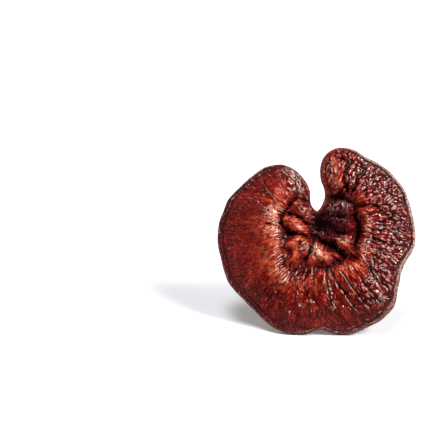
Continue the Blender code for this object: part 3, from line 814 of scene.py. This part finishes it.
def applyTree(piece, tree, values):
    # runs a geometry tree on a piece and keeps its result as a plain mesh
    modifier = piece.modifiers.new("shape", "NODES")
    modifier.node_group = tree
    for item in tree.interface.items_tree:
        if item.in_out == "INPUT" and item.name in values:
            modifier[item.identifier] = values[item.name]
    bpy.context.view_layer.update()
    graph = bpy.context.evaluated_depsgraph_get()
    mesh = bpy.data.meshes.new_from_object(piece.evaluated_get(graph), depsgraph=graph)
    piece.modifiers.remove(modifier)
    piece.data = mesh
    mesh.name = piece.name
    mesh.shade_smooth()
    return mesh


crust = {
    "curlCount": 4.4,            # rings round a knob, for each of its widths
    "tones": [(0.0, "#120201"), (0.14, "#320302"), (0.28, "#4c0503"), (0.42, "#601008"),
              (0.52, "#781a10"), (0.62, "#8e2818"), (0.72, "#9e3a22"), (0.82, "#a65436"),
              (0.91, "#aa785a"), (1.0, "#ac947e")],
    "tone": 0.36,                # where the plain crust lies in the tones
    # how far each of these moves it; fold, folds and lumps are painted highlight on raised tops and
    # painted shade between them, and middle, deep, crack, seams and groove are painted shade in the
    # sunken middle, the hollows, the cracks, the seams and the groove
    "toneShares": {
        "warm": 0.24, "fold": 0.2, "middle": -0.04, "deep": -0.13, "dusk": -0.09,
        "lumps": 0.46, "patches": 0.35, "broad": 0.3, "folds": 0.3, "specks": 0.35,
        "crack": -0.4, "seams": -0.12, "groove": -0.8,
    },
    # fine streaks that run out from the hub, ripples across them and broad shades: how
    # often they come round the hub and along the way out
    "stretches": [(1.6, 1.6, 0.5), (0.6, 0.6, 3.2), (0.22, 0.22, 0.3)],
    "streaks": 0.12, "farStreaks": 0.2, "duskStreaks": 1.3, "paintedSheenStreaks": 1.5,
    "lumpCrease": 0.3, "lumpDome": 1.3,   # how wide their creases are and how fast they drop
    "seamFade": (0.1, 0.02),     # distance from a seam where it starts and where it is full
    "curlCalm": 0.6,             # how much weaker the lumps are where the crust curls
    "lumpMiddle": 0.6, "nearLumps": 0.25, "creaseFade": (0.5, 0.25),
    "rungFade": (0.35, 0.6, 0.25, 1.0), "knobPatches": (0.42, 0.56), "dustReach": 1.1,
    # colours over the plain crust, in turn: the colour, its strength and, where it follows a
    # pattern, the values of that at which it starts and is full
    "layers": {
        "dusk": ("#441514", 0.5),
        "dust": ("#80564e", 0.4, 0.54, 0.7),
        "golden": ("#9c5830", 0.5, 0.52, 0.4),
        "soot": ("#340607", 0.4, 0.52, 0.66),
        "knob": ("#280a0e", 0.8),
        # painted highlight: a pale sheen where the lacquer catches the light, on lump tops and along the
        # bead
        "paintedSheen": ("#ac998e", 0.75, 0.72, 0.84),
        # painted highlight along the lit edge of each long crease
        "creaseHighlight": ("#ac998e", 0.55, 0.46, 0.54),
        # painted highlights along the streaks of the warm zones
        "strokes": ("#aa9e8c", 0.1, 0.05, 0.13),
        # painted glints on the knob's curls, and painted shade in their troughs
        "knobLight": ("#7c3e42", 0.5, 0.2, 0.8),
        "knobDark": ("#060102", 0.8, -0.1, -0.7),
        # painted shade in the troughs of the curls and rungs, and painted highlights on their crests
        "curlLow": ("#340607", 0.2, 0.0, -0.6),
        "curlHigh": ("#aa9e8e", 0.7, 0.4, 0.75),
        "rungLow": ("#340607", 0.8, 0.0, -0.5),
        "rungHigh": ("#aa9e8c", 0.75, 0.2, 0.6),
        "hub": ("#280a0e", 0.3),
        # painted shade: near black in the funnel's pit
        "pit": ("#060102", 0.92),
        "rim": ("#4a140e", 0.6),
        "lip": ("#a68d84", 1.0, 0.44, 0.55),
        "crumbs": ("#a68d84", 0.6, 0.56, 0.64),
        # painted shade: near black in the groove of the dark line inside the lip
        "groove": ("#060102", 0.85),
    },
    "lipDark": "#50201a", "unlit": "#060102",
    # how each pattern wanders: the size and the reach of its waves
    "strays": {
        "ray": [(9.0, 3.0), (3.0, 0.7)], "spot": [(8.0, 2.4), (3.0, 0.8)],
        "rung": [(4.5, 9.0)], "knob": [(6.0, 4.0)],
    },
    "pore": "#cdb48c", "poreDark": "#9a7446", "poreHole": "#5c3c20",
    "poreSize": 0.4, "poreHoleFade": (0.35, 0.15), "poreHoleShare": 0.35,
    "poreRing": 5.0, "poreRingStray": 9.0,
    # two insets from the margin and the strength at each, of the rings and the pale border
    "poreRings": (2.0, 22.0, 0.13, 0.03), "poreBorder": (4.2, 2.6, 0.0, 0.6),
    "poreTone": 0.5, "porePatches": 1.4, "poreSpecks": 0.5,
    "stalk": [(0.0, "#100404"), (0.3, "#2a0908"), (0.55, "#4c1210"), (0.78, "#742616"),
              (1.0, "#9a4a28")],
    "stalkTone": 0.42, "stalkStreaks": 0.9, "stalkPatches": 1.2, "stalkRidges": 0.4,
    "patchSize": 12.0, "speckSize": 1.2, "finePatchSize": 3.6, "fineSpeckSize": 0.8,
    "stalkPatchSize": 9.0,
    "roughness": (0.06, 0.14), "calmRough": 0.24, "creaseRough": 0.15, "rimRough": 0.5,
    "poreRough": 0.85, "stalkRough": 0.26, "stalkSpread": 0.2,
    "specular": 0.34, "shine": "#fff2ea", "coat": 0.6, "coatRoughness": 0.06,
    "calmCoat": 0.3, "calmHidden": 0.4,   # share of the coat, and of the shine lost, where calm
    "bumpHeight": 0.15, "rippleBump": 0.3, "poreBump": 0.5, "stalkBump": 0.5,
}

wrinkles = {
    "Near Turns": 9.0, "Near Run": 5.0, "Lump Turns": 24.0, "Lump Run": 4.4,
    "Lump Height": 0.6, "Lump Middle": 0.55,  # a lump's height that leaves the crust where it is
    "Short From": 38.0, "Short Share": 0.2,   # past this distance the lumps get a little shorter
    "Near Least": 6.0, "Near Share": 0.2,     # least distance reckoned with; height by the hub
    "Fold Share": 0.45,                       # folds are lumps spread by this share
    "Fold Height": 0.8, "Middle Height": 1.2,
    "Far From": 19.0, "Far To": 27.0,         # between these the loose lumps give way to rows
    "Ladder Turns": 142.0, "Ladder Height": 0.7, "Ladder Patches": 0.3,
    "Knob Size": 5.5, "Knob Height": 1.6, "Curl Height": 0.16,
    "Grain Size": 1.6, "Grain Height": 0.12,
    "Crumb Size": 1.3, "Crumb Depth": 0.35, "Seam Depth": 0.3, "Far Seam Loss": 0.6,
    "Seed": 3.0,
}


def strayed(spot, place, name):
    # a spot in a pattern, moved smoothly off its own by where it lies on the crust
    for size, reach in crust["strays"][name]:
        spot = spot + (noiseAt(place / size, 1.0, "Color") - (0.5, 0.5, 0.5)) * reach
    return spot


def lumpsAlong(spot, ray, far):
    # lumps, from 0 in the creases between them to 1, and the seams between them: loose
    # near the hub, in rows further out
    pairs = []
    for place in (spot, ray):
        edgeAway = cellsAt(place, "DISTANCE_TO_EDGE")
        crease = edgeAway.fit(0.0, crust["lumpCrease"], interpolation_type="SMOOTHSTEP")
        dome = (1.0 - reckon("POWER", cellsAt(place), 2.0) * crust["lumpDome"]).clamped()
        pairs.append((crease * 0.5 + dome * 0.5, edgeAway.fit(*crust["seamFade"])))
    return [between(far, near, row) for near, row in zip(*pairs)]


def buildWrinkleTree():
    # lumps, rungs and grain, raised from the crust along its normals
    inputs = [(label, "Float", value) for label, value in wrinkles.items()]
    tree, given, result = newShapeTree("crust wrinkles", inputs)

    def mask(name, kind="FLOAT"):
        return make(tree, "GeometryNodeInputNamedAttribute", {"Name": name}, "Attribute", data_type=kind)

    cobbled, curly, ladder = mask("cobbled"), mask("curly"), mask("ladder")
    place = make(tree, "GeometryNodeInputPosition") / mm + given["Seed"]
    right, up, away = parts(mask("polar", "FLOAT_VECTOR"))
    further = greatest(away - given["Short From"], 0.0)
    run = (away + further * given["Short Share"]) / given["Lump Run"]
    ray = joined(tree, right * given["Lump Turns"], up * given["Lump Turns"], run)
    ray = strayed(ray, place, "ray")
    # closer in, the rows narrow towards the hub
    depth = reckon("LOGARITHM", greatest(away, given["Near Least"]), math.e)
    near = [right * given["Near Turns"], up * given["Near Turns"], depth * given["Near Run"]]
    spot = strayed(joined(tree, *near), place, "spot")
    far = away.fit(given["Far From"], given["Far To"])
    lump, _ = lumpsAlong(spot, ray, far)
    folds, seams = lumpsAlong(spot * given["Fold Share"], ray * given["Fold Share"], far)
    folds = (folds - given["Lump Middle"]) * cobbled
    seams = seams * cobbled * (1.0 - far * given["Far Seam Loss"])

    # rungs, counted by the angle round the hub
    angle = reckon("ARCTAN2", up, right)
    bent = parts(strayed(joined(tree), place, "rung"))[0]
    uneven = noiseAt(place * given["Ladder Patches"]).fit(*crust["rungFade"])
    rung = reckon("SINE", angle * given["Ladder Turns"] + bent) * uneven * ladder

    # knobs, with curls round their tops
    knobAway = cellsAt(strayed(place, place, "knob") / given["Knob Size"])
    curl = reckon("COSINE", knobAway * (2.0 * math.pi * crust["curlCount"])) * curly

    top = 1.0 - mask("pore")
    grain = (noiseAt(place / given["Grain Size"]) - 0.5) * top
    crumb = noiseAt(place / given["Crumb Size"], 1.0) * mask("rim") * top
    lumps = (lump - given["Lump Middle"]) * cobbled * (1.0 - ladder - curly * crust["curlCalm"])
    raised = [
        (lumps, given["Lump Height"] * between(far, given["Near Share"], 1.0)),
        (folds, between(far, given["Middle Height"], given["Fold Height"])),
        (seams * -1.0, given["Seam Depth"]),
        (rung * 0.5, given["Ladder Height"]),
        (curl, given["Curl Height"]),
        ((0.5 - knobAway) * curly, given["Knob Height"]),
        (grain, given["Grain Height"]),
        (crumb * -1.0, given["Crumb Depth"]),
    ]
    height = 0.0
    for form, size in raised:
        height = form * size + height
    notes = {"ray": ray, "spot": spot, "rung": rung, "knobAway": knobAway, "far": far,
             "folds": folds, "seams": seams}
    shift = make(tree, "GeometryNodeInputNormal") * (height * mm)
    return finishShape(given["Geometry"], notes, shift, given, result)


def buildStemTree():
    # a lumpy tube along a bend, flat at its foot
    inputs = [(label, "Vector", None) for label in ("Start", "Start Handle", "End Handle", "End")]
    inputs += [(label, "Int", 100) for label in ("Steps", "Sides")]
    inputs += [(label, "Float", None) for label in (
        "Neck Radius", "Foot Radius", "Waist", "Knob Share", "Knob Size", "Wrinkle Height",
        "Wrinkle Size", "Wrinkle Stretch", "Even From", "Even To",
    )]
    tree, given, result = newShapeTree("stem sweep", inputs)
    ends = {label: given[label] for label in ("Start", "Start Handle", "End Handle", "End")}
    bend = make(tree, "GeometryNodeCurvePrimitiveBezierSegment", {
        "Resolution": given["Steps"], **ends,
    }, mode="POSITION")
    capture = addNode(tree, "GeometryNodeCaptureAttribute", {"Geometry": bend}, domain="POINT")
    capture.capture_items.new("FLOAT", "Along")
    setInputs(capture, {"Along": make(tree, "GeometryNodeSplineParameter", None, "Factor")})
    along = Flow(tree, capture.outputs["Along"])
    pinch = 1.0 - reckon("SINE", along * math.pi) * given["Waist"]
    radius = between(along, given["Neck Radius"], given["Foot Radius"]) * pinch
    ring = make(tree, "GeometryNodeCurvePrimitiveCircle", {
        "Resolution": given["Sides"], "Radius": 1.0,
    }, mode="RADIUS")
    path = Flow(tree, capture.outputs["Geometry"])
    tube = make(tree, "GeometryNodeCurveToMesh", {
        "Curve": path, "Profile Curve": ring, "Scale": radius, "Fill Caps": True,
    })

    place = make(tree, "GeometryNodeInputPosition")
    knob = (noiseAt(place / given["Knob Size"], 0.0) - 0.5) * 2.0
    squeezed = place * joined(tree, 1.0, 1.0, 1.0 / given["Wrinkle Stretch"])
    streak = noiseAt(squeezed / given["Wrinkle Size"])
    ridge = (reckon("ABSOLUTE", streak - 0.5) * 4.0).clamped() - 0.5
    growing = along.fit(given["Even From"], given["Even To"])
    knobs = knob * given["Knob Share"] * given["Foot Radius"]
    shift = make(tree, "GeometryNodeInputNormal") * (knobs * growing + ridge * given["Wrinkle Height"])
    return finishShape(tube, {"relief": ridge}, shift, given, result)


def linear(hexColour):
    # a colour written as on a screen, as the shader reads it
    shares = [int(hexColour[i:i + 2], 16) / 255 for i in (1, 3, 5)]
    return tuple(c / 12.92 if c <= 0.04045 else ((c + 0.055) / 1.055) ** 2.4 for c in shares) + (1.0,)


def colourRamp(value, stops):
    node = addNode(value.tree, "ShaderNodeValToRGB", {"Fac": value})
    elements = node.color_ramp.elements
    while len(elements) < len(stops):
        elements.new(0.5)
    for element, (position, colour) in zip(elements, stops):
        element.position = position
        element.color = linear(colour)
    return Flow(value.tree, node.outputs["Color"])


def mixColour(share, first, second):
    first, second = (linear(c) if isinstance(c, str) else c for c in (first, second))
    return make(share.tree, "ShaderNodeMix", {0: share, 6: first, 7: second}, 2, data_type="RGBA")


def buildMottleGroup():
    # patches and specks of uneven colour
    tree, given, result = newTree("crust mottle", "ShaderNodeTree", [
        ("Patch Size", "Float", crust["patchSize"]), ("Speck Size", "Float", crust["speckSize"]),
    ], [("Patches", "Float"), ("Specks", "Float")])
    place = make(tree, "ShaderNodeTexCoord", None, "Object") / mm
    setInputs(result, {
        "Patches": noiseAt(place / given["Patch Size"], 3.0),
        "Specks": noiseAt(place / given["Speck Size"], 2.0),
    })
    return tree


def mottled(tree, mottle, patchSize, speckSize):
    sizes = {"Patch Size": patchSize, "Speck Size": speckSize}
    node = addNode(tree, "ShaderNodeGroup", sizes, node_tree=mottle)
    return [Flow(tree, node.outputs[name]) for name in ("Patches", "Specks")]


def newMaterial(name):
    material = bpy.data.materials.new(name)
    material.use_nodes = True
    return material, material.node_tree, material.node_tree.nodes["Principled BSDF"]


def stalkColour(streaks, patches):
    # near-black lacquer that turns red where it is thin
    tone = streaks * crust["stalkStreaks"] + crust["stalkTone"] + patches * crust["stalkPatches"]
    return colourRamp(tone.clamped(), crust["stalk"])


def buildCapMaterial(mottle):
    material, tree, shader = newMaterial("cap crust")

    def mask(name, output="Fac"):
        return make(tree, "ShaderNodeAttribute", None, output, attribute_name=name)

    cobbled, curly, warm, dusk = (mask(name) for name in ("cobbled", "curly", "warm", "dusk"))
    pore, rim, stalk, far = (mask(name) for name in ("pore", "rim", "stalk", "far"))
    hubDark, edgeAway, rung = (mask(name) for name in ("hubDark", "edgeAway", "rung"))
    ray = mask("ray", "Vector")
    patch, speck = mottled(tree, mottle, crust["patchSize"], crust["speckSize"])
    finePatch, fineSpeck = mottled(tree, mottle, crust["finePatchSize"], crust["fineSpeckSize"])
    patches, specks = patch - 0.5, speck - 0.5
    lump, _ = lumpsAlong(mask("spot", "Vector"), ray, far)
    lumps = (lump - crust["lumpMiddle"]) * cobbled * between(far, crust["nearLumps"], 1.0)
    lumps = lumps * (1.0 - curly * crust["curlCalm"])
    streaks, ripples, broad = (noiseAt(ray * stretch) - 0.5 for stretch in crust["stretches"])

    # the lumps' tops are painted lighter and their creases darker, as painted highlight and shade
    shades = {"lumps": lumps, "patches": patches, "specks": specks, "broad": broad}
    tone = streaks * (far * crust["farStreaks"] + crust["streaks"] + dusk * crust["duskStreaks"])
    tone = tone + crust["tone"]
    for name, share in crust["toneShares"].items():
        tone = tone + (shades.get(name) or mask(name)) * share

    # the pores, and the pale and dark rings that they lie in
    pores = cellsAt(make(tree, "ShaderNodeTexCoord", None, "Object") / (crust["poreSize"] * mm))
    hole = pores.fit(*crust["poreHoleFade"])
    turns = edgeAway * (2.0 * math.pi / crust["poreRing"]) + patches * crust["poreRingStray"]
    poreTone = reckon("SINE", turns) * edgeAway.fit(*crust["poreRings"]) + crust["poreTone"]
    poreTone = poreTone + patches * crust["porePatches"] + (specks + streaks) * crust["poreSpecks"]
    poreTone = poreTone + edgeAway.fit(*crust["poreBorder"])
    poreColour = mixColour(poreTone.clamped(), crust["poreDark"], crust["pore"])
    # the pore holes are painted darker, as painted shade inside them
    poreColour = mixColour(hole * crust["poreHoleShare"], poreColour, crust["poreHole"])

    def fade(pattern, name):
        return pattern.fit(*crust["layers"][name][2:])

    curl = reckon("COSINE", mask("knobAway") * (2.0 * math.pi * crust["curlCount"]))
    curls, groove = curl * curly, mask("groove")
    shares = {
        "dusk": dusk,
        "dust": fade(fineSpeck, "dust") * (crust["dustReach"] - cobbled),
        "golden": fade(finePatch, "golden") * (warm - mask("deep")).clamped(),
        "soot": fade(finePatch, "soot"),
        "knob": hubDark,
        "paintedSheen": fade(streaks * crust["paintedSheenStreaks"] + lump, "paintedSheen") * mask("paintedSheen"),
        "creaseHighlight": fade(finePatch, "creaseHighlight") * mask("creaseHighlight"),
        "strokes": fade(streaks, "strokes") * warm,
        "knobLight": fade(curl, "knobLight") * finePatch.fit(*crust["knobPatches"]) * hubDark,
        "knobDark": fade(curl, "knobDark") * hubDark,
        "curlLow": fade(curls, "curlLow"), "curlHigh": fade(curls, "curlHigh"),
        "rungLow": fade(rung, "rungLow"), "rungHigh": fade(rung, "rungHigh"),
        "hub": hubDark,
        "pit": mask("pit"),
        "rim": rim,
        "lip": mask("lip"),
        "crumbs": fade(fineSpeck, "crumbs") * rim,
        "groove": groove,
    }
    colour = colourRamp(tone.clamped(), crust["tones"])
    for name, (layer, strength, *_) in crust["layers"].items():
        if name == "lip":
            layer = mixColour(fade(speck, name), crust["lipDark"], layer)
        colour = mixColour(shares[name] * strength, colour, layer)
    colour = mixColour(stalk, colour, stalkColour(streaks, patches))
    colour = mixColour(pore, colour, poreColour)

    crease = greatest(lump.fit(*crust["creaseFade"]) * cobbled, mask("crack"))
    smoothest, roughest = crust["roughness"]
    rough = speck * (roughest - smoothest) + smoothest
    dull = {
        "creaseRough": crease, "calmRough": 1.0 - cobbled, "rimRough": rim, "poreRough": pore,
        "stalkRough": stalk,
    }
    rough = greatest(rough, *(share * crust[name] for name, share in dull.items()))
    pit = shares["pit"] * crust["layers"]["pit"][1]
    bare = greatest(pore, rim, crease, pit)
    coat = ((1.0 - bare) * crust["coat"]).clamped() * between(cobbled, crust["calmCoat"], 1.0)
    # next to nothing shines out of the cracks and the pit
    hidden = greatest(crease, groove, pit, (1.0 - cobbled) * crust["calmHidden"])
    height = ripples * cobbled * crust["rippleBump"] + lumps - hole * pore * crust["poreBump"]
    setInputs(shader, {
        "Base Color": colour, "Roughness": rough, "Coat Weight": coat,
        "Coat Roughness": crust["coatRoughness"], "Specular IOR Level": crust["specular"],
        "Specular Tint": mixColour(hidden, crust["shine"], crust["unlit"]),
        "Normal": make(tree, "ShaderNodeBump", {"Distance": crust["bumpHeight"] * mm, "Height": height}),
    })
    return material


def buildStemMaterial(mottle):
    material, tree, shader = newMaterial("stem crust")
    patch, speck = mottled(tree, mottle, crust["stalkPatchSize"], crust["speckSize"])
    relief = make(tree, "ShaderNodeAttribute", None, "Fac", attribute_name="relief")
    smoothest = crust["stalkRough"] - crust["stalkSpread"] / 2
    setInputs(shader, {
        "Base Color": stalkColour(relief * crust["stalkRidges"], patch - 0.5),
        "Roughness": speck * crust["stalkSpread"] + smoothest,
        "Coat Weight": crust["coat"], "Coat Roughness": crust["coatRoughness"],
        "Specular Tint": linear(crust["shine"]),
        "Normal": make(tree, "ShaderNodeBump", {
            "Strength": crust["stalkBump"], "Distance": crust["bumpHeight"] * mm, "Height": speck,
        }),
    })
    return material


def addPiece(name, mesh):
    piece = bpy.data.objects.new(name, mesh)
    bpy.context.scene.collection.objects.link(piece)
    return piece


def clampToFloor(mesh):
    places = np.empty(len(mesh.vertices) * 3, np.float32)
    mesh.vertices.foreach_get("co", places)
    places[2::3] = np.maximum(places[2::3], 0.0)
    mesh.vertices.foreach_set("co", places)
    mesh.update()


mottleGroup = buildMottleGroup()
capMaterial = buildCapMaterial(mottleGroup)
stemMaterial = buildStemMaterial(mottleGroup)

capPiece = addPiece("capCrust", buildCapBase())
capMesh = applyTree(capPiece, buildWrinkleTree(), {**wrinkles, "Material": capMaterial})
clampToFloor(capMesh)
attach(capPiece, "root")
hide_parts("cap")
print("cap wrinkled:", len(capMesh.vertices), "points")

# the stem's bend, from inside the cap's neck to the floor
lean = math.radians(cap["leanDegrees"])
start = leaned([(*stem["collar"], stem["collarW"] + stem["overlap"])])[0]
collar = leaned([(*stem["collar"], stem["collarW"])])[0]
backward = np.array([0.0, math.cos(lean), -math.sin(lean)])
end = np.array([stem["foot"][0] - cap["middle"][0], stem["foot"][1] - cap["middle"][1], 0.0]) * mm
stemPiece = addPiece("stemCrust", bpy.data.meshes.new("stemCrust"))
stemMesh = applyTree(stemPiece, buildStemTree(), {
    "Start": start, "Start Handle": collar + stem["pullTop"] * mm * backward,
    "End Handle": end + np.array([0.0, 0.0, stem["pullFoot"] * mm]), "End": end,
    "Steps": stem["steps"], "Sides": stem["sides"],
    "Neck Radius": stem["collarRadius"] * mm, "Foot Radius": stem["footRadius"] * mm,
    "Waist": stem["waist"], "Knob Share": stem["knobShare"], "Knob Size": stem["knobSize"] * mm,
    "Wrinkle Height": stem["wrinkleHeight"] * mm, "Wrinkle Size": stem["wrinkleSize"] * mm,
    "Wrinkle Stretch": stem["wrinkleStretch"],
    "Even From": stem["evenFrom"], "Even To": stem["evenTo"], "Material": stemMaterial,
})
clampToFloor(stemMesh)
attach(stemPiece, "root")
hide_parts("stem")
print("stem swept:", len(stemMesh.vertices), "points")

studio = {
    "lens": 100.0, "sensor": 36.0,
    "cameraAt": (50.069, -713.060, 239.762),
    "azimuth": 8.837, "elevation": 13.937,
    "floorSize": 16.0, "floorColour": "#d3d3d8", "floorRoughness": 0.7,
    "floorReflected": "#161414",   # what the lacquer shows of the floor
    "world": 0.2, "mirroredWorld": 0.01,   # strength of the even light; the camera sees white
    "lights": [
        # name, direction that it comes from as azimuth and elevation, width in degrees,
        # strength and whether the lacquer mirrors it
        ("keyLight", 52.0, 38.0, 26.0, 2.0, False),
        ("keyGlint", 52.0, 38.0, 16.0, 3.4, True),
        ("topLight", -10.0, 66.0, 24.0, 1.5, False),
        ("topGlint", -10.0, 66.0, 16.0, 1.2, True),
        ("leftLight", -60.0, 35.0, 40.0, 0.5, False),
        ("backLight", 165.0, 40.0, 50.0, 0.9, True),
    ],
}


def buildFloor():
    half = studio["floorSize"] / 2
    mesh = bpy.data.meshes.new("floor")
    corners = [(-half, -half, 0.0), (half, -half, 0.0), (half, half, 0.0), (-half, half, 0.0)]
    mesh.from_pydata(corners, [], [(0, 1, 2, 3)])
    material, tree, shader = newMaterial("pale floor")
    inLacquer = make(tree, "ShaderNodeLightPath", None, "Is Glossy Ray")
    colour = mixColour(inLacquer, studio["floorColour"], studio["floorReflected"])
    setInputs(shader, {"Base Color": colour, "Roughness": studio["floorRoughness"]})
    mesh.materials.append(material)
    floor = addPiece("floor", mesh)


def towards(azimuth, elevation):
    # the direction that lies this far round to the right of the front and this high
    turn, lift = math.radians(azimuth), math.radians(elevation)
    return Vector((math.sin(turn) * math.cos(lift), -math.cos(turn) * math.cos(lift), math.sin(lift)))


def buildLights():
    for name, azimuth, elevation, width, strength, mirrored in studio["lights"]:
        light = bpy.data.lights.new(name, "SUN")
        light.angle = math.radians(width)
        light.energy = strength
        holder = addPiece(name, light)
        holder.visible_glossy = mirrored
        holder.rotation_euler = towards(azimuth, elevation).to_track_quat("Z", "Y").to_euler()
    world = bpy.data.worlds.new("studio")
    bpy.context.scene.world = world
    world.use_nodes = True
    tree = world.node_tree
    inLacquer = make(tree, "ShaderNodeLightPath", None, "Is Glossy Ray")
    seen = make(tree, "ShaderNodeLightPath", None, "Is Camera Ray")
    glow = inLacquer * (studio["mirroredWorld"] - studio["world"]) + studio["world"]
    white = (1.0, 1.0, 1.0, 1.0)
    setInputs(tree.nodes["Background"], {"Color": white, "Strength": greatest(glow, seen)})


def buildCamera():
    camera = bpy.data.cameras.new("camera")
    camera.lens = studio["lens"]
    camera.sensor_width = studio["sensor"]
    holder = addPiece("camera", camera)
    back = towards(studio["azimuth"], studio["elevation"])
    holder.location = Vector(studio["cameraAt"]) * mm
    holder.rotation_euler = back.to_track_quat("Z", "Y").to_euler()
    bpy.context.scene.camera = holder


buildFloor()
buildLights()
buildCamera()
bpy.context.scene.view_settings.view_transform = "Standard"
print("studio ready")
